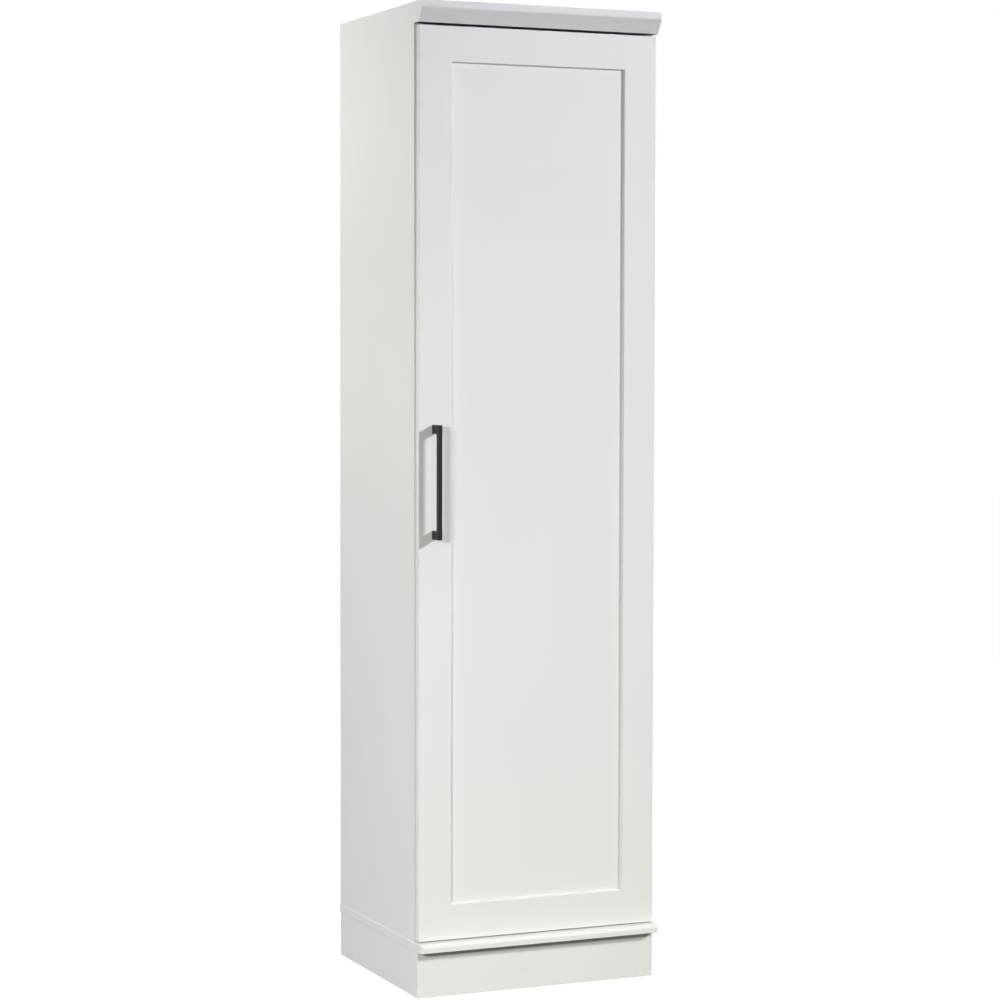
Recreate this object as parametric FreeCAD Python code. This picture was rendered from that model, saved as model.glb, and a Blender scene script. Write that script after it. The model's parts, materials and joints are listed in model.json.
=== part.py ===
import FreeCAD, Part
import os

# Tall one-door broom cupboard, in millimetres.
# +Z is up and the front faces -Y. The origin is on the floor, in the middle of the overall width and depth.
# The door hangs on concealed hinges at its +X edge and opens by turning about +Z.

# Carcass boards
carcass_height = 1808.0
carcass_width = 480.0
side_depth = 384.0
board_thickness = 16.0
board_edge_radius = 0.6
back_thickness = 3.0
back_inset = 2.0  # back panels lie this far inside the carcass outline

# Plinth and ledge
plinth_height = 85.5
ledge_thickness = 16.0
ledge_reach = 38.5  # nose ahead of the side panels' front edges
ledge_overhang = 1.0  # beyond the side panels' outer faces
ledge_nose_radius = 8.0
ledge_side_radius = 3.0
ledge_corner_radius = 7.0
skirt_thickness = 16.0
skirt_inset = 1.0  # inside the side panels' outer faces
skirt_reach = 16.2  # front skirt's face ahead of the side panels' front edges
rear_rail_setback = 3.0
corner_block_size = 40.0
corner_block_height = 60.0

# Crown
crown_height = 38.5
crown_reach = 38.0  # fascia ahead of the side panels' front edges
crown_fascia = 13.0  # height of the upright face
crown_bevel_run = 16.2  # how far the bevel falls back
crown_turn_radius = 6.0  # where the fascia turns into the bevel
crown_edge_radius = 0.8

# Door
door_thickness = 16.0
door_gap = 3.0  # between the door's back and the side panels' front edges
door_reveal = 2.0  # door inside the side panels' outer faces
door_top_gap = 4.0
door_bottom_gap = 2.0
frame_width = 64.0  # stiles and rails on the face
frame_bevel_run = 2.5  # slope of the recess wall
recess_depth = 6.0
panel_thickness = 4.0
groove_depth = 8.0
panel_play = 1.0  # panel's edge short of the groove's bottom
door_edge_radius = 1.0
hinge_edge_radius = 4.0  # eased back edges of the stiles, which let the hinge side clear the side panel
mitre_dowel_radius = 3.0
mitre_dowel_length = 30.0

# Shelves, hook rail and hooks
upper_bay_height = 374.5  # fixed shelf's top to the top panel's underside
shelf_setback = 3.0  # behind the side panels' front edges
shelf_side_play = 1.0
shelf_hinge_clearance = 12.0  # adjustable shelf's top below the top hinge's mounting plate
shelf_hole_pitch = 32.0
shelf_hole_rows = 4  # the adjustable shelf is in the top row
shelf_hole_setback = 37.0  # from the front and rear edges of the sides
shelf_pin_radius = 2.5
shelf_pin_depth = 9.0
shelf_pin_reach = 9.0
hook_rail_height = 80.0
hook_rail_top_drop = 120.0  # fixed shelf's underside to the rail's top
hook_spacing = 120.0
hook_plate_width = 18.0
hook_plate_height = 56.0
hook_plate_thickness = 2.0
hook_rod_radius = 3.0
hook_straight = 18.0
hook_bend_radius = 9.0
hook_upright = 14.0
hook_ball_radius = 4.5
hook_drop = 8.0  # rod below the middle of its plate
hook_screw_spread = 18.0  # screw above and below the middle of the plate
wall_hole_radius = 2.75
wall_hole_spacing = 360.0

# Cam fittings, dowels, nails and screws
cam_radius = 7.5
cam_depth = 12.5
cam_distance = 34.0  # cam's middle from the face that the bolt is screwed into
cam_setback = 60.0  # from the front and rear edges of the boards
cam_slot_width = 1.6
cam_slot_depth = 3.0
cam_slot_length = 9.0
cam_bolt_radius = 3.5
cam_bolt_thread_radius = 2.5
cam_bolt_thread = 11.0
dowel_radius = 4.0
dowel_short_end = 10.0
dowel_long_end = 20.0
nail_radius = 0.7
nail_head_radius = 1.6
nail_head_height = 0.8
nail_length = 18.0
nail_pitch = 150.0
nail_margin = 25.0
nail_row_spacing = 110.0
nail_joint_distance = 4.0  # from the joint between the back panels
screw_point = 2.0
recess_share = 0.6  # cross recess across the head
recess_width = 0.9
recess_depth_share = 0.7
small_screw_radius = 1.75
small_screw_head = 3.5
crown_screw_length = 28.0
crown_screw_spacing = 180.0
plinth_screw_length = 48.0
plinth_screw_spread = 15.0

# Hinges
hinge_end_distance = 110.0  # hinge's middle from the door's top or bottom
pivot_edge_distance = 9.0  # pivot from the door's hinge edge
pivot_depth = 9.0  # pivot below the door's back
pivot_pin_radius = 1.5
pivot_clearance = 0.05
pivot_pin_bearing = 3.5  # pin held in the cup at each end
knuckle_radius = 2.7
arm_width = 12.0
arm_thickness = 2.0
arm_offset = 11.0  # pivot to the near face of the arm's flat
arm_length = 62.0  # behind the side panel's front edge
arm_outer_radius = 3.0
arm_inner_radius = 0.8
arm_screw_setback = 50.0
arm_screw_length = 7.0
plate_front = 16.0  # mounting plate behind the side panel's front edge
plate_rear = 60.0
plate_height = 16.0
wing_setback = 37.0
wing_length = 14.0
wing_height = 46.0
wing_thickness = 3.0
wing_screw_spread = 16.0
wing_screw_length = 14.0
cup_radius = 17.5
cup_edge_distance = 3.0  # cup from the door's hinge edge
cup_floor = 0.8
pocket_play = 0.5  # under the knuckle
pocket_mouth_play = 1.1  # beside the knuckle, where the arm swings out
pocket_side_play = 1.0  # beside the arm
pocket_end_play = 2.0  # beyond the arm's flat
ear_thickness = 1.5
ear_width = 16.0
ear_inner = 10.0  # from the cup's middle, along the door
ear_outer = 30.0
ear_corner_radius = 5.0
ear_screw_spread = 24.0
ear_screw_length = 13.0

# Catch, bumpers and handle
catch_width = 44.0
catch_height = 13.0
catch_depth = 16.0
catch_side_distance = 6.0  # from the left side panel
catch_clearance = 0.3
catch_screw_spread = 14.0
catch_screw_length = 12.0
catch_pole_width = 30.0
catch_pole_height = 2.0
catch_pole_gap = 4.0
catch_pole_reach = 0.8
strike_width = 38.0
strike_height = 14.0
strike_thickness = 1.2
strike_screw_length = 10.0
bumper_radius = 4.0
bumper_thickness = 2.5
bumper_end_distance = 40.0
handle_length = 208.0
handle_projection = 30.0
handle_bar_width = 8.0
handle_bar_depth = 9.4
handle_leg_height = 16.0
handle_edge_distance = 30.0  # bar's middle from the door's left edge
handle_raise = 7.5  # bar's middle above the door's middle
handle_edge_radius = 0.8
handle_inner_radius = 3.0
handle_screw_radius = 2.0
handle_screw_grip = 12.0  # thread inside the handle
handle_screw_head_radius = 4.0
handle_screw_head_height = 2.4
handle_screw_clearance = 0.25

# Places that follow from the sizes
half_width = carcass_width / 2
inner_half = half_width - board_thickness
side_middle = half_width - board_thickness / 2
door_face_reach = door_gap + door_thickness
front_reach = max(ledge_reach, crown_reach, door_face_reach + handle_projection)
overall_depth = front_reach + side_depth + back_thickness
front_edge = front_reach - overall_depth / 2
rear_edge = front_edge + side_depth
middle_depth = (front_edge + rear_edge) / 2
rear_face = rear_edge + back_thickness
ledge_top = plinth_height + ledge_thickness
crown_bottom = carcass_height - crown_height
top_bottom = carcass_height - board_thickness
shelf_top = top_bottom - upper_bay_height
shelf_bottom = shelf_top - board_thickness
shelf_middle = shelf_bottom + board_thickness / 2
rail_top = shelf_bottom - hook_rail_top_drop
rail_middle = rail_top - hook_rail_height / 2
rail_front = rear_edge - board_thickness
door_back = front_edge - door_gap
door_face = door_back - door_thickness
door_left = -half_width + door_reveal
door_right = half_width - door_reveal
door_bottom = ledge_top + door_bottom_gap
door_top = crown_bottom - door_top_gap
door_middle = (door_bottom + door_top) / 2
member_width = frame_width + frame_bevel_run
pivot_x = door_right - pivot_edge_distance
pivot_y = door_back - pivot_depth
hinge_heights = (door_bottom + hinge_end_distance, door_middle, door_top - hinge_end_distance)
cup_x = door_right - cup_edge_distance - cup_radius
cup_depth = pivot_depth + knuckle_radius + pocket_play + cup_floor
arm_near = pivot_x - arm_offset
arm_far = arm_near - arm_thickness
skirt_outer = half_width - skirt_inset
skirt_inner = skirt_outer - skirt_thickness
skirt_face = front_edge - skirt_reach
skirt_back = skirt_face + skirt_thickness
handle_x = door_left + handle_edge_distance
handle_middle = door_middle + handle_raise
handle_hole_reach = (handle_length - handle_leg_height) / 2
catch_front = door_back + strike_thickness + catch_clearance
catch_x = -inner_half + catch_side_distance + catch_width / 2
adjustable_top = hinge_heights[-1] - wing_height / 2 - shelf_hinge_clearance
pin_height = adjustable_top - board_thickness - shelf_pin_radius
shelf_hole_heights = [pin_height - row * shelf_hole_pitch for row in range(shelf_hole_rows)]
shelf_hole_depths = (front_edge + shelf_hole_setback, rear_edge - shelf_hole_setback)

point = FreeCAD.Vector
RIGHT = point(1, 0, 0)
LEFT = point(-1, 0, 0)
BACK = point(0, 1, 0)
FRONT = point(0, -1, 0)
UP = point(0, 0, 1)
DOWN = point(0, 0, -1)
SIDES = (-1, 1)


def block(x, y, z):
    """Box between the low and high limits along each axis."""
    return Part.makeBox(x[1] - x[0], y[1] - y[0], z[1] - z[0], point(x[0], y[0], z[0]))


def around(middle, size):
    """Limits of a size centred on a place."""
    return (middle - size / 2, middle + size / 2)


def prism(outline, direction):
    """Solid swept from a closed outline of points."""
    return Part.Face(Part.makePolygon(outline + outline[:1])).extrude(direction)


def edges_at(solid, middles):
    """Edges of a solid whose middles lie at the given points."""
    near = 0.001
    return [edge for edge in solid.Edges if any((edge.CenterOfMass - middle).Length < near for middle in middles)]


def edges_along(solid, direction):
    """Straight edges of a solid that run along a direction."""
    square = 0.001
    return [
        edge for edge in solid.Edges
        if edge.Curve.TypeId == "Part::GeomLine" and edge.tangentAt(edge.FirstParameter).cross(direction).Length < square
    ]


def board(x, y, z):
    """Plain board with lightly eased edges."""
    solid = block(x, y, z)
    return solid.makeFillet(board_edge_radius, solid.Edges)


def fitted(solid, inserts):
    """A board bored out for the pieces that sit in it."""
    return solid.cut(inserts)


def screw_body(head, inward, length, shank_radius, head_radius):
    """Flat-head screw without its recess: head is the middle of the head's face."""
    head_height = head_radius - shank_radius
    cone = Part.makeCone(head_radius, shank_radius, head_height, head, inward)
    shank_length = length - head_height - screw_point
    shank = Part.makeCylinder(shank_radius, shank_length, head + inward * head_height, inward)
    tip = Part.makeCone(shank_radius, 0, screw_point, head + inward * (length - screw_point), inward)
    return cone.fuse([shank, tip]).removeSplitter()


def cross_recess(head, inward, head_radius):
    """Cross in a screw's head."""
    depth = recess_depth_share * head_radius
    span = around(0, 2 * recess_share * head_radius)
    slot = around(0, recess_width)
    cross = block(span, slot, (0, depth)).fuse(block(slot, span, (0, depth)))
    cross.Placement = FreeCAD.Placement(head, FreeCAD.Rotation(UP, inward))
    return cross


def screw_set(heads, inward, length, shank_radius=small_screw_radius, head_radius=small_screw_head):
    """Plain bodies that the holes follow, and the screws with their recesses."""
    bodies = [screw_body(head, inward, length, shank_radius, head_radius) for head in heads]
    screws = [body.cut(cross_recess(head, inward, head_radius)) for head, body in zip(heads, bodies)]
    return bodies, screws


def dowel(joint, direction):
    """Dowel through a joint: its short end lies against the direction, its long end along it."""
    return Part.makeCylinder(
        dowel_radius, dowel_short_end + dowel_long_end, joint - direction * dowel_short_end, direction
    )


def cam_fitting(joint, into, cam_face, cam_axis):
    """Cam and bolt of one joint: the bolt is screwed in at joint and reaches along into, to the cam's middle."""
    cam = Part.makeCylinder(cam_radius, cam_depth, cam_face, cam_axis)
    thread = Part.makeCylinder(cam_bolt_thread_radius, cam_bolt_thread, joint, into * -1)
    shaft = Part.makeCylinder(cam_bolt_radius, cam_distance, joint, into)
    bolt = thread.fuse(shaft).removeSplitter()
    slot = block(around(0, cam_slot_length), around(0, cam_slot_width), (0, cam_slot_depth))
    slot.Placement = FreeCAD.Placement(cam_face, FreeCAD.Rotation(UP, cam_axis))
    return cam, bolt, cam.cut([bolt, slot])


def nail(head):
    """Back nail, its head flush with the back panel."""
    cap = Part.makeCylinder(nail_head_radius, nail_head_height, head, FRONT)
    shank = Part.makeCylinder(nail_radius, nail_length, head, FRONT)
    return cap.fuse(shank).removeSplitter()


def cam_joints():
    """Cams and bolts of the top panel, fixed shelf and side panels, with the plain cams for their seats."""
    seats, bolts, cams = [], [], []
    for side in SIDES:
        inward = RIGHT * -side
        for depth in (front_edge + cam_setback, rear_edge - cam_setback):
            joints = []
            for bottom in (top_bottom, shelf_bottom):
                joint = point(side * inner_half, depth, bottom + board_thickness / 2)
                face = point(side * (inner_half - cam_distance), depth, bottom)
                joints.append(cam_fitting(joint, inward, face, UP))
            joint = point(side * side_middle, depth, ledge_top)
            face = point(side * inner_half, depth, ledge_top + cam_distance)
            joints.append(cam_fitting(joint, UP, face, RIGHT * side))
            for seat, bolt, cam in joints:
                seats.append(seat)
                bolts.append(bolt)
                cams.append(cam)
    return seats, bolts, cams


def carcass_dowels():
    """Dowels of the top, shelf, ledge, hook rail, rear plinth rail and crown backer."""
    dowels = []
    rear_rail_y = rear_edge - rear_rail_setback - skirt_thickness / 2
    for side in SIDES:
        inward = RIGHT * -side
        for bottom in (top_bottom, shelf_bottom):
            dowels.append(dowel(point(side * inner_half, middle_depth, bottom + board_thickness / 2), inward))
        dowels.append(dowel(point(side * side_middle, middle_depth, ledge_top), UP))
        for height in around(rail_middle, hook_rail_height / 2):
            dowels.append(dowel(point(side * inner_half, rear_edge - board_thickness / 2, height), inward))
        dowels.append(dowel(point(side * skirt_inner, rear_rail_y, plinth_height / 2), inward))
        dowels.append(dowel(point(side * side_middle, front_edge, crown_bottom + crown_height / 2), BACK))
        dowels.append(dowel(point(side * inner_half / 2, front_edge, top_bottom + board_thickness / 2), BACK))
    return dowels


def back_nails():
    """Nails along the sides of both back panels, and across the ledge, fixed shelf and top panel."""
    nails = []
    ledge_middle = plinth_height + ledge_thickness / 2
    top_middle = top_bottom + board_thickness / 2
    for low, high in ((plinth_height + back_inset, shelf_middle), (shelf_middle, carcass_height - back_inset)):
        count = round((high - low) / nail_pitch)
        step = (high - low - 2 * nail_margin) / count
        for side in SIDES:
            for place in range(count + 1):
                nails.append(nail(point(side * side_middle, rear_face, low + nail_margin + place * step)))
    joint_rows = (shelf_middle - nail_joint_distance, shelf_middle + nail_joint_distance)
    for height in (ledge_middle, *joint_rows, top_middle):
        for place in (-1, 0, 1):
            nails.append(nail(point(place * nail_row_spacing, rear_face, height)))
    return nails


def side_panel(side, inserts):
    """Side panel with its two columns of shelf-pin holes."""
    panel = board(sorted((side * inner_half, side * half_width)), (front_edge, rear_edge), (ledge_top, carcass_height))
    holes = [
        Part.makeCylinder(shelf_pin_radius, shelf_pin_depth, point(side * inner_half, depth, height), RIGHT * side)
        for depth in shelf_hole_depths
        for height in shelf_hole_heights
    ]
    return fitted(panel, inserts + holes)


def cross_board(bottom, setback, inserts):
    """Board between the side panels, such as the top panel or the fixed shelf."""
    solid = board(
        (-inner_half, inner_half), (front_edge + setback, rear_edge), (bottom, bottom + board_thickness)
    )
    return fitted(solid, inserts)


def base_ledge(inserts):
    """Bottom board with a rounded nose, rounded corners and eased sides."""
    reach = half_width + ledge_overhang
    nose = front_edge - ledge_reach
    heights = (plinth_height, ledge_top)
    nose_shape = block((-reach, reach), (nose, rear_edge), heights)
    nose_shape = nose_shape.makeFillet(ledge_nose_radius, edges_at(nose_shape, [point(0, nose, ledge_top)]))
    nose_shape = nose_shape.makeFillet(board_edge_radius, edges_at(nose_shape, [point(0, nose, plinth_height)]))
    plan = block((-reach, reach), (nose, rear_edge), heights)
    corners = [point(side * reach, nose, plinth_height + ledge_thickness / 2) for side in SIDES]
    plan = plan.makeFillet(ledge_corner_radius, edges_at(plan, corners))
    side_shape = block((-reach, reach), (nose, rear_edge), heights)
    arrises = [point(side * reach, (nose + rear_edge) / 2, ledge_top) for side in SIDES]
    side_shape = side_shape.makeFillet(ledge_side_radius, edges_at(side_shape, arrises))
    return fitted(nose_shape.common(plan).common(side_shape), inserts)


def side_skirt(side, inserts):
    """Side of the plinth, mitred to the front skirt."""
    skirt = board(sorted((side * skirt_inner, side * skirt_outer)), (skirt_face, rear_edge), (0, plinth_height))
    return fitted(skirt.cut(front_mitre(side, 1)), inserts)


def front_skirt(inserts):
    """Front of the plinth, mitred at both ends."""
    skirt = board((-skirt_outer, skirt_outer), (skirt_face, skirt_back), (0, plinth_height))
    return fitted(skirt.cut([front_mitre(side, -1) for side in SIDES]), inserts)


def front_mitre(side, half):
    """Waste on one side of a plinth corner's mitre: half is 1 for the side skirt's waste, -1 for the front skirt's."""
    outer = point(side * skirt_outer, skirt_face, 0)
    inner = point(side * skirt_inner, skirt_back, 0)
    if half > 0:
        waste = point(side * skirt_inner, skirt_face, 0)
    else:
        waste = point(side * skirt_outer, skirt_back, 0)
    return prism([outer, inner, waste], UP * plinth_height)


def corner_block_limits():
    """Limits of the four blocks inside the plinth's corners."""
    rear_face_of_block = rear_edge - rear_rail_setback - skirt_thickness
    rows = ((skirt_back, skirt_back + corner_block_size), (rear_face_of_block - corner_block_size, rear_face_of_block))
    heights = (plinth_height - corner_block_height, plinth_height)
    return [
        (side, sorted((side * skirt_inner, side * (skirt_inner - corner_block_size))), row, heights)
        for side in SIDES
        for row in rows
    ]


def plinth_screw_sets():
    """Screws through the corner blocks, outwards into the side skirts, with the bodies that their holes follow."""
    bodies, screws = [], []
    middle = plinth_height - corner_block_height / 2
    for side, x, y, z in corner_block_limits():
        heads = [
            point(side * (skirt_inner - corner_block_size), sum(y) / 2, middle + spread)
            for spread in (-plinth_screw_spread, plinth_screw_spread)
        ]
        new_bodies, new_screws = screw_set(heads, RIGHT * side, plinth_screw_length)
        bodies += new_bodies
        screws += new_screws
    return bodies, screws


def crown_backer(inserts):
    """Strip in the door's plane that closes the front above the door and carries the moulding."""
    return fitted(
        board((-half_width, half_width), (front_edge - door_face_reach, front_edge), (crown_bottom, carcass_height)),
        inserts,
    )


def crown_moulding(inserts):
    """Moulding with an upright fascia over a bevel."""
    back = front_edge - door_face_reach
    face = front_edge - crown_reach
    bevel_foot = face + crown_bevel_run
    turn = carcass_height - crown_fascia
    section = [(back, carcass_height), (face, carcass_height), (face, turn), (bevel_foot, crown_bottom), (back, crown_bottom)]
    solid = prism([point(-half_width, y, z) for y, z in section], RIGHT * carcass_width)
    solid = solid.makeFillet(crown_turn_radius, edges_at(solid, [point(0, face, turn)]))
    arrises = [point(0, face, carcass_height), point(0, bevel_foot, crown_bottom)]
    solid = solid.makeFillet(crown_edge_radius, edges_at(solid, arrises))
    return fitted(solid, inserts)


def back_panel(low, high, inserts):
    """Thin back panel over the rear edges of the carcass."""
    reach = half_width - back_inset
    return fitted(block((-reach, reach), (rear_edge, rear_face), (low, high)), inserts)


def wall_holes():
    """Bores for fixing the hook rail to a wall, through the back."""
    return [
        Part.makeCylinder(wall_hole_radius, rear_face - rail_front, point(x, rail_front, rail_middle), BACK)
        for x in around(0, wall_hole_spacing)
    ]


def hook_places():
    """Middles of the hooks' plates, on the rail's front."""
    return [point(place * hook_spacing, rail_front, rail_middle) for place in (-1, 0, 1)]


def broom_hook(place):
    """Hook of round rod on a plate, turned up at its end."""
    face = place.y - hook_plate_thickness
    plate = block(around(place.x, hook_plate_width), (face, place.y), around(place.z, hook_plate_height))
    plate = plate.makeFillet(hook_plate_width / 4, edges_along(plate, BACK))
    start = point(place.x, place.y - hook_plate_thickness / 2, place.z - hook_drop)
    bend = point(place.x, face - hook_straight, start.z)
    middle = bend + FRONT * hook_bend_radius * 0.5 ** 0.5 + UP * hook_bend_radius * (1 - 0.5 ** 0.5)
    rise = bend + FRONT * hook_bend_radius + UP * hook_bend_radius
    end = rise + UP * hook_upright
    path = Part.Wire([
        Part.LineSegment(start, bend).toShape(),
        Part.Arc(bend, middle, rise).toShape(),
        Part.LineSegment(rise, end).toShape(),
    ])
    section = Part.Wire(Part.makeCircle(hook_rod_radius, start, FRONT))
    rod = path.makePipeShell([section], True, True)
    return plate.fuse([rod, Part.makeSphere(hook_ball_radius, end)]).removeSplitter()


def shelf_pin(side, depth):
    """Pin in a side panel with a flat top under the shelf."""
    start = point(side * (inner_half + shelf_pin_depth), depth, pin_height)
    rod = Part.makeCylinder(shelf_pin_radius, shelf_pin_depth + shelf_pin_reach, start, RIGHT * -side)
    collar = Part.makeCylinder(
        2 * shelf_pin_radius, shelf_side_play, point(side * inner_half, depth, pin_height), RIGHT * -side
    )
    flat = pin_height + shelf_pin_radius
    wide = 4 * shelf_pin_radius
    above = block(around(side * inner_half, 2 * (shelf_pin_depth + shelf_pin_reach)), around(depth, wide), (flat, flat + wide))
    return rod.fuse(collar).removeSplitter().cut(above)


def adjustable_shelf():
    """Loose shelf that rests on the pins."""
    reach = inner_half - shelf_side_play
    heights = (adjustable_top - board_thickness, adjustable_top)
    return board((-reach, reach), (front_edge + shelf_setback, rear_edge), heights)


def door_envelope():
    """Outline of the whole door: eased all round, and more so along the back edges of the stiles."""
    solid = block((door_left, door_right), (door_face, door_back), (door_bottom, door_top))
    stile_backs = [point(x, door_back, door_middle) for x in (door_left, door_right)]
    solid = solid.makeFillet(hinge_edge_radius, edges_at(solid, stile_backs))
    face_edges = [edge for edge in solid.Edges if edge.BoundBox.YMax < door_face + door_edge_radius]
    return solid.makeFillet(door_edge_radius, face_edges)


def frame_member(place, low, high):
    """Mitred stile or rail. place turns distance from the door's edge, depth from its face and run into a point."""
    groove = member_width - groove_depth
    section = [
        (0, 0), (frame_width, 0), (member_width, recess_depth), (groove, recess_depth),
        (groove, recess_depth + panel_thickness), (member_width, recess_depth + panel_thickness),
        (member_width, door_thickness), (0, door_thickness),
    ]
    run = place(0, 0, high) - place(0, 0, low)
    solid = prism([place(across, depth, low) for across, depth in section], run)
    inner_edge = place(frame_width, 0, (low + high) / 2)
    solid = solid.makeFillet(board_edge_radius, edges_at(solid, [inner_edge]))
    mitre = [(0, low), (0, high), (member_width, high - member_width), (member_width, low + member_width)]
    outline = prism([place(across, 0, along) for across, along in mitre], BACK * door_thickness)
    return solid.common(outline).common(door_envelope())


def door_frame():
    """Stiles and rails by name."""
    heights = (door_bottom, door_top)
    widths = (door_left, door_right)
    return {
        "door_left_stile": frame_member(
            lambda across, depth, along: point(door_left + across, door_face + depth, along), *heights),
        "door_right_stile": frame_member(
            lambda across, depth, along: point(door_right - across, door_face + depth, along), *heights),
        "door_bottom_rail": frame_member(
            lambda across, depth, along: point(along, door_face + depth, door_bottom + across), *widths),
        "door_top_rail": frame_member(
            lambda across, depth, along: point(along, door_face + depth, door_top - across), *widths),
    }


def door_panel():
    """Flat panel held in the frame's grooves."""
    inset = member_width - groove_depth + panel_play
    front = door_face + recess_depth
    return block(
        (door_left + inset, door_right - inset), (front, front + panel_thickness), (door_bottom + inset, door_top - inset)
    )


def mitre_dowels():
    """One dowel square across each mitre of the door frame, clear of the panel's groove."""
    offset = (member_width - groove_depth) / 2
    depth = door_face + door_thickness / 2
    dowels = []
    for x, across in ((door_left + offset, 1), (door_right - offset, -1)):
        for z, along in ((door_bottom + offset, -1), (door_top - offset, 1)):
            direction = point(across, 0, along).normalize()
            start = point(x, depth, z) - direction * (mitre_dowel_length / 2)
            dowels.append(Part.makeCylinder(mitre_dowel_radius, mitre_dowel_length, start, direction))
    return dowels


def hinge_cup(height):
    """Cast cup with a pocket for the arm and two screw ears, and its plain bore."""
    bore = Part.makeCylinder(cup_radius, cup_depth, point(cup_x, door_back, height), FRONT)
    pocket_floor = pivot_y - knuckle_radius - pocket_play
    pocket = block(
        (arm_far - pocket_end_play, pivot_x + knuckle_radius + pocket_mouth_play),
        (pocket_floor, door_back),
        around(height, arm_width + 2 * pocket_side_play),
    )
    ears = []
    for side in SIDES:
        z = sorted((height + side * ear_inner, height + side * ear_outer))
        ear = block(around(cup_x, ear_width), (door_back, door_back + ear_thickness), z)
        corners = [point(x, door_back + ear_thickness / 2, height + side * ear_outer) for x in around(cup_x, ear_width)]
        ears.append(ear.makeFillet(ear_corner_radius, edges_at(ear, corners)))
    return bore, bore.cut(pocket).fuse(ears)


def hinge_pin(height):
    """Pivot pin across the cup's pocket."""
    length = arm_width + 2 * pocket_side_play + 2 * pivot_pin_bearing
    return Part.makeCylinder(pivot_pin_radius, length, point(pivot_x, pivot_y, height - length / 2), UP)


def hinge_arm(height):
    """Goose-neck arm: a knuckle on the pin, a neck across the cup and a flat along the side panel."""
    bottom = height - arm_width / 2
    half = arm_thickness / 2
    rear = front_edge + arm_length
    outline = [
        (pivot_x, pivot_y - half), (pivot_x, pivot_y + half), (arm_near, pivot_y + half),
        (arm_near, rear), (arm_far, rear), (arm_far, pivot_y - half),
    ]
    strip = prism([point(x, y, bottom) for x, y in outline], UP * arm_width)
    strip = strip.makeFillet(arm_outer_radius, edges_at(strip, [point(arm_far, pivot_y - half, height)]))
    strip = strip.makeFillet(arm_inner_radius, edges_at(strip, [point(arm_near, pivot_y + half, height)]))
    axis = point(pivot_x, pivot_y, bottom)
    knuckle = Part.makeCylinder(knuckle_radius, arm_width, axis, UP)
    bore = Part.makeCylinder(pivot_pin_radius + pivot_clearance, arm_width, axis, UP)
    return strip.fuse(knuckle).removeSplitter().cut(bore)


def hinge_plate(height):
    """Mounting plate on the side panel: a raised bed for the arm and two wings for screws."""
    bed = block((arm_near, inner_half), (front_edge + plate_front, front_edge + plate_rear), around(height, plate_height))
    bed = bed.makeFillet(board_edge_radius, edges_along(bed, RIGHT))
    wings = block(
        (inner_half - wing_thickness, inner_half), around(front_edge + wing_setback, wing_length), around(height, wing_height)
    )
    wings = wings.makeFillet(wing_length / 3, edges_along(wings, RIGHT))
    return bed.fuse(wings).removeSplitter()


def magnetic_catch(inserts):
    """Catch under the fixed shelf with two steel poles at its front."""
    top = shelf_bottom
    poles_front = catch_front
    body_front = poles_front + catch_pole_reach
    body = board(around(catch_x, catch_width), (body_front, body_front + catch_depth), (top - catch_height, top))
    poles = [
        block(around(catch_x, catch_pole_width), (poles_front, body_front + catch_pole_reach), around(height, catch_pole_height))
        for height in around(top - catch_height / 2, catch_pole_gap)
    ]
    return fitted(body.fuse(poles), inserts)


def strike_plate(inserts):
    """Steel plate on the door's back, opposite the catch."""
    height = around(shelf_bottom - catch_height / 2, strike_height)
    plate = block(around(catch_x, strike_width), (door_back, door_back + strike_thickness), height)
    plate = plate.makeFillet(strike_height / 4, edges_along(plate, BACK))
    return fitted(plate, inserts)


def door_bumpers():
    """Soft pads on the left stile, where it meets the side panel."""
    return [
        Part.makeCylinder(bumper_radius, bumper_thickness, point(-side_middle, door_back, height), BACK)
        for height in (door_bottom + bumper_end_distance, door_top - bumper_end_distance)
    ]


def handle():
    """Bar handle with square legs, bored for its screws."""
    face = door_face - handle_projection
    heights = around(handle_middle, handle_length)
    bar_back = face + handle_bar_depth
    solid = block(around(handle_x, handle_bar_width), (face, door_face), heights)
    gap = block(
        around(handle_x, 2 * handle_bar_width), (bar_back, door_face),
        (heights[0] + handle_leg_height, heights[1] - handle_leg_height),
    )
    inner = [point(handle_x, bar_back, height) for height in (gap.BoundBox.ZMin, gap.BoundBox.ZMax)]
    solid = solid.cut(gap)
    solid = solid.makeFillet(handle_inner_radius, edges_at(solid, inner))
    clear_of_door = [edge for edge in solid.Edges if edge.BoundBox.YMin < door_face - handle_edge_radius]
    solid = solid.makeFillet(handle_edge_radius, clear_of_door)
    bores = [
        Part.makeCylinder(handle_screw_radius, handle_screw_grip, screw, FRONT)
        for screw in handle_screw_places(door_face)
    ]
    return fitted(solid, bores)


def handle_screw_places(depth):
    """Where the handle's screws cross a plane behind or in the door."""
    return [point(handle_x, depth, height) for height in around(handle_middle, 2 * handle_hole_reach)]


def handle_screw(place):
    """Pan-head screw from the door's back into the handle."""
    head = Part.makeCylinder(handle_screw_head_radius, handle_screw_head_height, place, BACK)
    head = head.makeFillet(handle_screw_head_height / 2, edges_at(head, [place + BACK * handle_screw_head_height]))
    shank = Part.makeCylinder(handle_screw_radius, door_thickness + handle_screw_grip, place, FRONT)
    recess = cross_recess(place + BACK * handle_screw_head_height, FRONT, handle_screw_head_radius / 2)
    return head.fuse(shank).removeSplitter().cut(recess)


def handle_screw_holes():
    """Clearance holes for the handle's screws through the stile."""
    return [
        Part.makeCylinder(handle_screw_radius + handle_screw_clearance, door_thickness, place, FRONT)
        for place in handle_screw_places(door_back)
    ]


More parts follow.
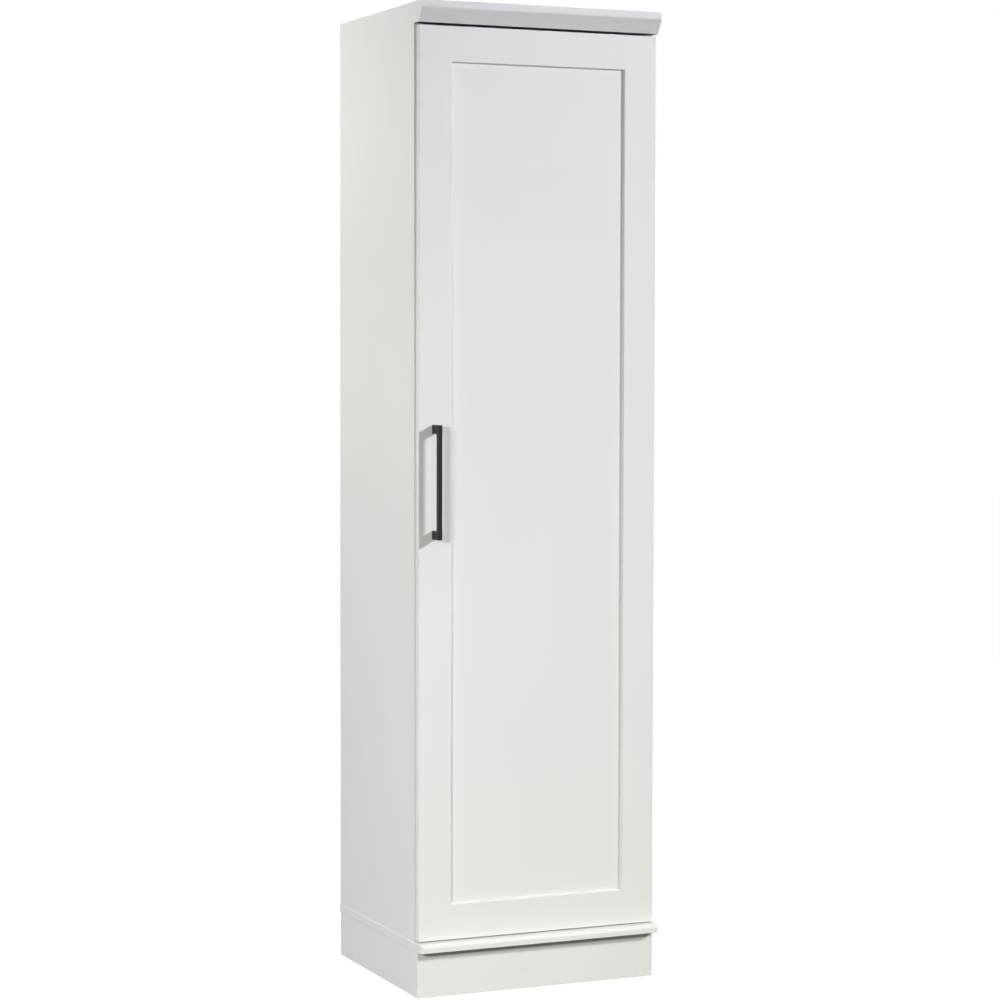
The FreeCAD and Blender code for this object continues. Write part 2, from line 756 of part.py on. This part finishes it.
def build():
    """Every sub-part by name: one solid, or a list of like solids."""
    cam_seats, cam_bolts, cams = cam_joints()
    dowels = carcass_dowels()
    nails = back_nails()
    plinth_bodies, plinth_screws = plinth_screw_sets()
    crown_heads = [
        point(place * crown_screw_spacing, front_edge, (crown_bottom + top_bottom) / 2) for place in (-1, 0, 1)
    ]
    crown_bodies, crown_screws = screw_set(crown_heads, FRONT, crown_screw_length)
    hook_heads = [
        place + FRONT * hook_plate_thickness + UP * spread
        for place in hook_places()
        for spread in (-hook_screw_spread, hook_screw_spread)
    ]
    hook_bodies, hook_screws = screw_set(hook_heads, BACK, wing_screw_length)
    wing_heads = [
        point(inner_half - wing_thickness, front_edge + wing_setback, height + spread)
        for height in hinge_heights
        for spread in (-wing_screw_spread, wing_screw_spread)
    ]
    wing_bodies, wing_screws = screw_set(wing_heads, RIGHT, wing_screw_length)
    arm_heads = [point(arm_far, front_edge + arm_screw_setback, height) for height in hinge_heights]
    arm_bodies, arm_screws = screw_set(arm_heads, RIGHT, arm_screw_length)
    ear_heads = [
        point(cup_x, door_back + ear_thickness, height + spread)
        for height in hinge_heights
        for spread in (-ear_screw_spread, ear_screw_spread)
    ]
    ear_bodies, ear_screws = screw_set(ear_heads, FRONT, ear_screw_length)
    catch_middle = catch_front + catch_pole_reach + catch_depth / 2
    catch_heads = [
        point(x, catch_middle, shelf_bottom - catch_height) for x in around(catch_x, 2 * catch_screw_spread)
    ]
    catch_bodies, catch_screws = screw_set(catch_heads, UP, catch_height + catch_screw_length)
    strike_heads = [
        point(x, door_back + strike_thickness, shelf_bottom - catch_height / 2)
        for x in around(catch_x, 2 * catch_screw_spread)
    ]
    strike_bodies, strike_screws = screw_set(strike_heads, FRONT, strike_screw_length)

    carcass_fittings = cam_seats + cam_bolts + dowels
    cups = [hinge_cup(height) for height in hinge_heights]
    cup_bores = [bore for bore, cup in cups]
    pins = [hinge_pin(height) for height in hinge_heights]
    keys = mitre_dowels()
    frame = door_frame()
    frame["door_left_stile"] = fitted(frame["door_left_stile"], keys + handle_screw_holes() + strike_bodies)
    frame["door_right_stile"] = fitted(frame["door_right_stile"], keys + cup_bores + ear_bodies)
    frame["door_bottom_rail"] = fitted(frame["door_bottom_rail"], keys)
    frame["door_top_rail"] = fitted(frame["door_top_rail"], keys)
    rear_rail = board(
        (-skirt_inner, skirt_inner),
        (rear_edge - rear_rail_setback - skirt_thickness, rear_edge - rear_rail_setback), (0, plinth_height),
    )
    hook_rail = board((-inner_half, inner_half), (rail_front, rear_edge), around(rail_middle, hook_rail_height))

    return {
        "left_side_panel": side_panel(-1, carcass_fittings + nails),
        "right_side_panel": side_panel(1, carcass_fittings + nails + wing_bodies),
        "top_panel": cross_board(top_bottom, 0, carcass_fittings + nails),
        "fixed_shelf": cross_board(shelf_bottom, shelf_setback, carcass_fittings + nails + catch_bodies),
        "adjustable_shelf": adjustable_shelf(),
        "shelf_pins": [shelf_pin(side, depth) for side in SIDES for depth in shelf_hole_depths],
        "base_ledge": base_ledge(carcass_fittings + nails),
        "front_skirt": front_skirt(plinth_bodies),
        "left_skirt": side_skirt(-1, plinth_bodies + dowels),
        "right_skirt": side_skirt(1, plinth_bodies + dowels),
        "rear_plinth_rail": fitted(rear_rail, dowels),
        "plinth_corner_blocks": [fitted(block(x, y, z), plinth_bodies) for side, x, y, z in corner_block_limits()],
        "plinth_screws": plinth_screws,
        "crown_backer": crown_backer(dowels + crown_bodies),
        "crown_moulding": crown_moulding(crown_bodies),
        "crown_screws": crown_screws,
        "lower_back_panel": back_panel(plinth_height + back_inset, shelf_middle, nails + wall_holes()),
        "upper_back_panel": back_panel(shelf_middle, carcass_height - back_inset, nails),
        "back_nails": nails,
        "hook_rail": fitted(hook_rail, dowels + hook_bodies + wall_holes()),
        "broom_hooks": [fitted(broom_hook(place), hook_bodies) for place in hook_places()],
        "hook_screws": hook_screws,
        "cam_locks": cams,
        "cam_bolts": cam_bolts,
        "dowels": dowels,
        "hinge_mounting_plates": [fitted(hinge_plate(height), wing_bodies + arm_bodies) for height in hinge_heights],
        "hinge_plate_screws": wing_screws,
        "hinge_arms": [fitted(hinge_arm(height), arm_bodies) for height in hinge_heights],
        "hinge_arm_screws": arm_screws,
        "magnetic_catch": magnetic_catch(catch_bodies),
        "catch_screws": catch_screws,
        **frame,
        "door_panel": door_panel(),
        "door_mitre_dowels": keys,
        "hinge_cups": [fitted(cup, pins + ear_bodies) for bore, cup in cups],
        "hinge_cup_screws": ear_screws,
        "hinge_pins": pins,
        "handle": handle(),
        "handle_screws": [handle_screw(place) for place in handle_screw_places(door_back)],
        "catch_strike_plate": strike_plate(strike_bodies),
        "strike_screws": strike_screws,
        "door_bumpers": door_bumpers(),
    }


os.makedirs("parts", exist_ok=True)
for name, shape in build().items():
    solid = Part.makeCompound(shape) if isinstance(shape, list) else shape
    solid.exportStep("parts/" + name + ".step")
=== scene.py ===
import bpy
import bmesh
import json
import math
from mathutils import Color, Euler, Matrix, Vector


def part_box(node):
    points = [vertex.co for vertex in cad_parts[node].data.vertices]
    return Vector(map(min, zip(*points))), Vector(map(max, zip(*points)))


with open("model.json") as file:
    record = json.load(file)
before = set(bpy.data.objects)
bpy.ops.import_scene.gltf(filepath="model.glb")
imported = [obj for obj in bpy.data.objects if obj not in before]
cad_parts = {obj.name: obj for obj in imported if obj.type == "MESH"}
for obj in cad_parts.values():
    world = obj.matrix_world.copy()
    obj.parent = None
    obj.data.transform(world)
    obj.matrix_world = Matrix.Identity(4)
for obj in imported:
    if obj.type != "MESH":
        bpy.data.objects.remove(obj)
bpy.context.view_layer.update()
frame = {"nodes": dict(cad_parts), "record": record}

MM = 0.001

# Where the parts of the cupboard lie, in metres
SIDE_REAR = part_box("left_side_panel")[1].y
POLE_LENGTH = 0.7 * MM
POLE_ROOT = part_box("magnetic_catch")[0].y + POLE_LENGTH
FACE_MARGIN = 0.15 * MM  # a point this near a face lies on it
SCUFF_HEIGHTS = (5 * MM, 45 * MM)  # scuffs fade out between these heights

# Boards above the floor whose undersides get painted shade, a dark grey-brown colour where shade falls
# under them
SHADED_UNDERNEATH = ("base_ledge", "crown_backer", "crown_moulding")

# Colours as they look on screen, red, green and blue up to 255
WHITE_LAMINATE = (234, 234, 232)
WHITE_SHADE = (231, 231, 229)
SCUFF = (196, 194, 188)
CHIPBOARD = (184, 152, 110)
CHIPBOARD_DARK = (140, 106, 70)
# Painted shade: dark grey-brown colour for the undersides of the crown and ledge, where shade falls in the
# gaps below them
PAINTED_UNDERSIDE_SHADE = (84, 78, 72)
HARDBOARD = (152, 112, 74)
HARDBOARD_DARK = (118, 82, 52)
TIMBER = (206, 172, 126)
TIMBER_DARK = (170, 130, 86)
BRONZE = (25, 24, 24)
BRONZE_WORN = (54, 50, 47)
STEEL = (196, 196, 197)
STEEL_DULL = (172, 172, 172)
PLASTIC = (234, 234, 230)
BUMPER = (222, 222, 216)

# Values that most of a noise pattern lies between
NOISE_LOW = 0.35
NOISE_HIGH = 0.65

# The floor, in metres, its own shade, and how much of the white background it takes on beside the cupboard
FLOOR_HALF = 14.0
FLOOR_DROP = 0.3 * MM  # below the plinth, so that no two faces share a plane
FLOOR_COLOUR = (0.2, 0.2, 0.195, 1.0)
FLOOR_GLOW = 0.87
FLOOR_FADE = (0.6, 2.4)  # distances from the middle over which the floor turns white

# Height that the studio lights' directions are measured from, in metres
LIGHT_MIDDLE = 0.9

# The photograph's view: place in metres, angles in degrees, lens and sensor in millimetres
CAMERA_PLACE = (-2.1049, -4.828, 1.1857)
CAMERA_TURN = -23.6  # from straight ahead, and less than 0 is to the right
CAMERA_DIP = 2.529  # below level
CAMERA_ROLL = 0.1165
CAMERA_LENS = 99.69
CAMERA_SENSOR = 36.0
CAMERA_SHIFT = -0.03  # share of the picture's width
CAMERA_REACH = 100.0


def tint(screen):
    """Colour for a shader from a colour as it looks on screen."""
    colour = Color([value / 255 for value in screen]).from_srgb_to_scene_linear()
    return (*colour, 1.0)


class Figure:
    """A number in a material's nodes. Python's operators on it add Math nodes."""

    def __init__(self, paint, socket):
        self.paint = paint
        self.socket = socket

    def __add__(self, other):
        return self.paint.maths("ADD", self, other)

    __radd__ = __add__

    def __sub__(self, other):
        return self.paint.maths("SUBTRACT", self, other)

    def __rsub__(self, other):
        return self.paint.maths("SUBTRACT", other, self)

    def __mul__(self, other):
        return self.paint.maths("MULTIPLY", self, other)

    __rmul__ = __mul__

    def __gt__(self, other):
        return self.paint.maths("GREATER_THAN", self, other)

    def __lt__(self, other):
        return self.paint.maths("LESS_THAN", self, other)


class Nodes:
    """A node tree while it is laid out."""

    def __init__(self, tree):
        self.tree = tree

    def feed(self, socket, value):
        """Sets a socket, or links it to a figure."""
        if isinstance(value, Figure):
            self.tree.links.new(value.socket, socket)
        else:
            socket.default_value = value

    def node(self, kind, settings=None, inputs=None, result=0):
        """Any node, by its type, its settings and the values or links of its sockets."""
        made = self.tree.nodes.new(kind)
        for name, value in (settings or {}).items():
            setattr(made, name, value)
        for name, value in (inputs or {}).items():
            self.feed(made.inputs[name], value)
        return Figure(self, made.outputs[result])

    def maths(self, operation, first, second):
        return self.node("ShaderNodeMath", {"operation": operation}, {0: first, 1: second})


class Paint(Nodes):
    """A material while its nodes are laid out."""

    def __init__(self, name, **constants):
        self.material = bpy.data.materials.new(name)
        self.material.use_nodes = True
        super().__init__(self.material.node_tree)
        self.shader = self.tree.nodes["Principled BSDF"]
        self.coordinates = None
        for socket, value in constants.items():
            self.shader.inputs[socket.replace("_", " ")].default_value = value

    def place(self, stretch=(1.0, 1.0, 1.0)):
        """Object coordinates, stretched so that a pattern runs along an axis."""
        if self.coordinates is None:
            self.coordinates = self.node("ShaderNodeTexCoord", result="Object")
        return self.node("ShaderNodeMapping", inputs={"Vector": self.coordinates, "Scale": stretch})

    def along(self, axis):
        """One of the object coordinates."""
        return self.node("ShaderNodeSeparateXYZ", inputs={"Vector": self.place()}, result=axis)

    def noise(self, size, stretch=(1.0, 1.0, 1.0), detail=3.0):
        """Soft cloudy pattern whose lumps are about a size, in metres."""
        return self.node(
            "ShaderNodeTexNoise",
            inputs={"Vector": self.place(stretch), "Scale": 1 / size, "Detail": detail},
        )

    def flakes(self, size):
        """Cells of random shade, about a size across, in metres."""
        cells = self.node(
            "ShaderNodeTexVoronoi",
            inputs={"Vector": self.place(), "Scale": 1 / size},
            result="Color",
        )
        return self.node("ShaderNodeSeparateColor", inputs={"Color": cells})

    def between(self, figure, low=NOISE_LOW, high=NOISE_HIGH):
        """A figure's share of the way from low to high, kept from 0 to 1."""
        return self.node(
            "ShaderNodeMapRange",
            {"clamp": True},
            {"Value": figure, "From Min": low, "From Max": high},
        )

    def blend(self, share, first, second):
        """Colour that goes from first to second."""
        return self.node(
            "ShaderNodeMix",
            {"data_type": "RGBA", "clamp_factor": True},
            {0: share, 6: first, 7: second},
            result=2,
        )

    def relief(self, height, depth, strength):
        """Bump of a depth in metres."""
        return self.node(
            "ShaderNodeBump",
            inputs={"Height": height, "Distance": depth, "Strength": strength},
        )

    def finish(self, **links):
        """Joins figures to the shader's sockets and gives the material."""
        for socket, value in links.items():
            self.feed(self.shader.inputs[socket.replace("_", " ")], value)
        return self.material


def chipboard(paint):
    """Raw edge of a board: pressed flakes of wood."""
    return paint.blend(paint.flakes(1.6 * MM), tint(CHIPBOARD_DARK), tint(CHIPBOARD))


def white_laminate(name="white_laminate", foot=0.0):
    """Smooth off-white laminate over chipboard, raw at the back edges, with painted shade in dark
    grey-brown on the underside.
    """
    paint = Paint(name, Specular_IOR_Level=0.4)
    drift = paint.noise(0.35, detail=2.0)
    streaks = paint.noise(6 * MM, stretch=(1.0, 1.0, 0.05), detail=4.0)
    cast = paint.between(0.88 * drift + 0.12 * streaks)
    white = paint.blend(cast, tint(WHITE_SHADE), tint(WHITE_LAMINATE))
    scuffs = paint.between(paint.noise(9 * MM, stretch=(0.2, 0.2, 1.0)), 0.62, 0.75)
    low = 1 - paint.between(paint.along("Z"), *SCUFF_HEIGHTS)
    worn = paint.blend(0.35 * scuffs * low, white, tint(SCUFF))
    rear_edge = paint.along("Y") > SIDE_REAR - FACE_MARGIN
    # Painted shade: the underside at the board's foot is coloured dark grey-brown and made as rough as a
    # raw board
    painted_shade_underside = paint.along("Z") < foot + FACE_MARGIN
    with_painted_underside = paint.blend(painted_shade_underside, worn, tint(PAINTED_UNDERSIDE_SHADE))
    colour = paint.blend(rear_edge, with_painted_underside, chipboard(paint))
    raw_edge_or_shaded_underside = paint.maths("MAXIMUM", rear_edge, painted_shade_underside)
    pores = paint.noise(1.1 * MM, stretch=(1.0, 1.0, 0.12))
    roughness = 0.34 + 0.08 * paint.noise(4 * MM) + 0.08 * pores + 0.4 * raw_edge_or_shaded_underside
    bump = paint.relief(pores, depth=0.06 * MM, strength=0.7)
    return paint.finish(Base_Color=colour, Roughness=roughness, Normal=bump)


def hardboard():
    """Thin back board, white towards the inside and brown behind."""
    paint = Paint("hardboard", Specular_IOR_Level=0.3)
    strands = paint.noise(3 * MM, stretch=(1.0, 1.0, 0.3), detail=6.0)
    dust = paint.noise(0.9 * MM, detail=2.0)
    fibres = 0.5 * strands + 0.5 * dust
    brown = paint.blend(paint.between(fibres, NOISE_LOW, 0.68), tint(HARDBOARD_DARK), tint(HARDBOARD))
    inside = 1 - (paint.along("Y") > SIDE_REAR + FACE_MARGIN)
    colour = paint.blend(inside, brown, tint(WHITE_LAMINATE))
    roughness = 0.62 - 0.2 * inside + 0.1 * fibres
    bump = paint.relief(fibres, depth=0.05 * MM, strength=0.5)
    return paint.finish(Base_Color=colour, Roughness=roughness, Normal=bump)


def bare_wood():
    """Plain timber of the plinth's blocks and the dowels."""
    paint = Paint("bare_wood", Specular_IOR_Level=0.3)
    grain = paint.noise(2.5 * MM, stretch=(1.0, 1.0, 0.08), detail=5.0)
    colour = paint.blend(paint.between(grain), tint(TIMBER_DARK), tint(TIMBER))
    roughness = 0.55 + 0.2 * grain
    bump = paint.relief(grain, depth=0.06 * MM, strength=0.6)
    return paint.finish(Base_Color=colour, Roughness=roughness, Normal=bump)


def dark_bronze():
    """Satin dark coat of the handle, fine-grained and rubbed a little in patches."""
    paint = Paint("dark_bronze", Metallic=0.35, Specular_IOR_Level=0.3)
    speckle = paint.noise(0.6 * MM, detail=2.0)
    rubbed = paint.between(paint.noise(14 * MM, detail=4.0), 0.5, 0.8)
    colour = paint.blend(0.35 * rubbed, tint(BRONZE), tint(BRONZE_WORN))
    roughness = 0.34 + 0.14 * speckle - 0.08 * rubbed
    bump = paint.relief(speckle, depth=0.02 * MM, strength=0.5)
    return paint.finish(Base_Color=colour, Roughness=roughness, Normal=bump)


def plated_steel():
    """Zinc-plated steel of the hinges, hooks and screws."""
    paint = Paint("plated_steel", Metallic=1.0)
    cloud = paint.noise(5 * MM, detail=4.0)
    scratches = paint.noise(0.7 * MM, stretch=(1.0, 1.0, 0.06), detail=2.0)
    colour = paint.blend(paint.between(cloud), tint(STEEL_DULL), tint(STEEL))
    roughness = 0.24 + 0.14 * cloud + 0.08 * scratches
    bump = paint.relief(scratches, depth=0.01 * MM, strength=0.5)
    return paint.finish(Base_Color=colour, Roughness=roughness, Normal=bump)


def white_plastic():
    """Moulded case of the catch, with its steel poles in front."""
    paint = Paint("white_plastic")
    grain = paint.noise(0.5 * MM, detail=2.0)
    pole = paint.along("Y") < POLE_ROOT
    colour = paint.blend(pole, tint(PLASTIC), tint(STEEL_DULL))
    roughness = 0.42 + 0.1 * grain
    bump = paint.relief(grain, depth=0.02 * MM, strength=0.5)
    return paint.finish(Base_Color=colour, Metallic=pole, Roughness=roughness, Normal=bump)


def soft_bumper():
    """Soft clear pad."""
    paint = Paint("soft_bumper", IOR=1.42, Subsurface_Weight=0.2)
    cloud = paint.noise(2 * MM)
    colour = paint.blend(cloud, tint(BUMPER), tint(WHITE_LAMINATE))
    return paint.finish(Base_Color=colour, Roughness=0.3 + 0.15 * cloud)


def dress_nodes():
    """Gives every piece of the frame its finish, by the record's slots."""
    finishes = {
        "white_laminate": white_laminate(),
        "hardboard": hardboard(),
        "bare_wood": bare_wood(),
        "dark_bronze": dark_bronze(),
        "plated_steel": plated_steel(),
        "white_plastic": white_plastic(),
        "soft_bumper": soft_bumper(),
    }
    for subpart in frame["record"]["subparts"]:
        name = subpart["node"]
        finish = finishes[subpart["material_slot"]]
        # The crown and ledge get painted shade on their undersides, at their own lowest height
        if name in SHADED_UNDERNEATH:
            finish = white_laminate(name + "_laminate", foot=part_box(name)[0].z)
        for slot in frame["nodes"][name].material_slots:
            slot.material = finish


def visible(nodes):
    """1 for a ray from the camera, off a gloss or through glass, and 0 for a ray that only lights."""
    camera, gloss, glass = [
        nodes.node("ShaderNodeLightPath", result=kind)
        for kind in ("Is Camera Ray", "Is Glossy Ray", "Is Transmission Ray")
    ]
    return nodes.maths("MAXIMUM", nodes.maths("MAXIMUM", camera, gloss), glass)


def pale_floor():
    """Pale floor that meets the white background and keeps a soft shadow around the cupboard."""
    mesh = bpy.data.meshes.new("floor")
    shape = bmesh.new()
    bmesh.ops.create_grid(shape, x_segments=1, y_segments=1, size=FLOOR_HALF)
    bmesh.ops.translate(shape, vec=(0.0, 0.0, -FLOOR_DROP), verts=shape.verts)
    shape.to_mesh(mesh)
    shape.free()
    floor = bpy.data.objects.new("floor", mesh)
    bpy.context.scene.collection.objects.link(floor)
    paint = Paint(
        "pale_floor",
        Base_Color=FLOOR_COLOUR,
        Roughness=1.0,
        Specular_IOR_Level=0.0,
        Emission_Strength=1.0,
    )
    away = paint.node("ShaderNodeVectorMath", {"operation": "LENGTH"}, {0: paint.place()}, "Value")
    glow = FLOOR_GLOW + (1 - FLOOR_GLOW) * paint.between(away, *FLOOR_FADE)
    mesh.materials.append(paint.finish(Emission_Color=glow * visible(paint)))


def white_world():
    """Background that is white to look at and adds no light."""
    world = bpy.data.worlds.new("studio")
    bpy.context.scene.world = world
    world.use_nodes = True
    nodes = Nodes(world.node_tree)
    background = world.node_tree.nodes["Background"]
    background.inputs["Color"].default_value = (1.0, 1.0, 1.0, 1.0)
    nodes.feed(background.inputs["Strength"], visible(nodes))


def panel_light(name, direction, distance, size, power, colour, aim=(0.0, LIGHT_MIDDLE), spread=180.0):
    """Studio panel that looks at a place across and up the cupboard, in metres.

    Its direction is right of straight ahead, then up, in degrees, and its power is in watts.
    """
    data = bpy.data.lights.new(name, "AREA")
    data.shape = "RECTANGLE"
    data.size, data.size_y = size
    data.energy = power
    data.color = colour
    data.spread = math.radians(spread)
    turn, rise = [math.radians(angle) for angle in direction]
    level = Vector((math.sin(turn), -math.cos(turn), 0.0))
    outward = level * math.cos(rise) + Vector((0.0, 0.0, math.sin(rise)))
    across, up = aim
    light = bpy.data.objects.new(name, data)
    light.location = Vector((0.0, 0.0, LIGHT_MIDDLE)) + outward * distance
    backward = light.location - Vector((across, 0.0, up))
    light.rotation_euler = backward.to_track_quat("Z", "Y").to_euler()
    light.visible_camera = False
    bpy.context.scene.collection.objects.link(light)


def studio_lights():
    """Key on the right, cool above and warm below, lamps on the left, and soft light all round."""
    key = {"direction": (43.5, 21.5), "distance": 6.0, "size": (1.2, 0.4), "spread": 44}
    panel_light("key_upper", power=13.9, colour=(0.88, 0.895, 1.0), aim=(-0.5, 1.65), **key)
    panel_light("key_lower", power=10.7, colour=(1.0, 0.962, 0.885), aim=(-0.2, -0.45), **key)
    panel_light(
        "left_lamp", direction=(-46.0, 8.4), distance=4.5, size=(0.8, 0.4),
        power=13.6, colour=(1.0, 0.975, 0.935), aim=(0.0, -0.25), spread=60,
    )
    panel_light(
        "left_high", direction=(-114.8, 17.7), distance=1.6, size=(1.4, 1.0),
        power=7.9, colour=(1.0, 0.899, 0.767), aim=(0.0, 2.38),
    )
    panel_light(
        "left_side", direction=(-105.0, 5.0), distance=3.5, size=(2.0, 2.0),
        power=29.0, colour=(0.812, 0.931, 1.0), aim=(0.0, 0.5),
    )
    panel_light(
        "front_soft", direction=(-12.0, 28.0), distance=4.5, size=(3.0, 2.0),
        power=23.3, colour=(0.981, 1.0, 0.984), aim=(0.0, 0.66),
    )
    panel_light(
        "right_side", direction=(112.0, 12.0), distance=3.5, size=(2.0, 2.0),
        power=28.0, colour=(1.0, 1.0, 1.0),
    )
    panel_light(
        "behind", direction=(180.0, 25.0), distance=4.0, size=(2.0, 2.0),
        power=100.0, colour=(1.0, 1.0, 1.0),
    )


def photo_camera():
    """Camera at the photograph's place, angle and framing."""
    data = bpy.data.cameras.new("camera")
    data.sensor_width = CAMERA_SENSOR
    data.lens = CAMERA_LENS
    data.shift_y = CAMERA_SHIFT
    data.clip_end = CAMERA_REACH
    camera = bpy.data.objects.new("camera", data)
    place = Matrix.Translation(CAMERA_PLACE)
    turn = Euler((math.radians(90 - CAMERA_DIP), 0.0, math.radians(CAMERA_TURN))).to_matrix().to_4x4()
    roll = Matrix.Rotation(math.radians(CAMERA_ROLL), 4, "Z")
    camera.matrix_world = place @ turn @ roll
    bpy.context.scene.collection.objects.link(camera)
    bpy.context.scene.camera = camera


dress_nodes()
pale_floor()
white_world()
studio_lights()
photo_camera()
bpy.context.scene.view_settings.view_transform = "Standard"
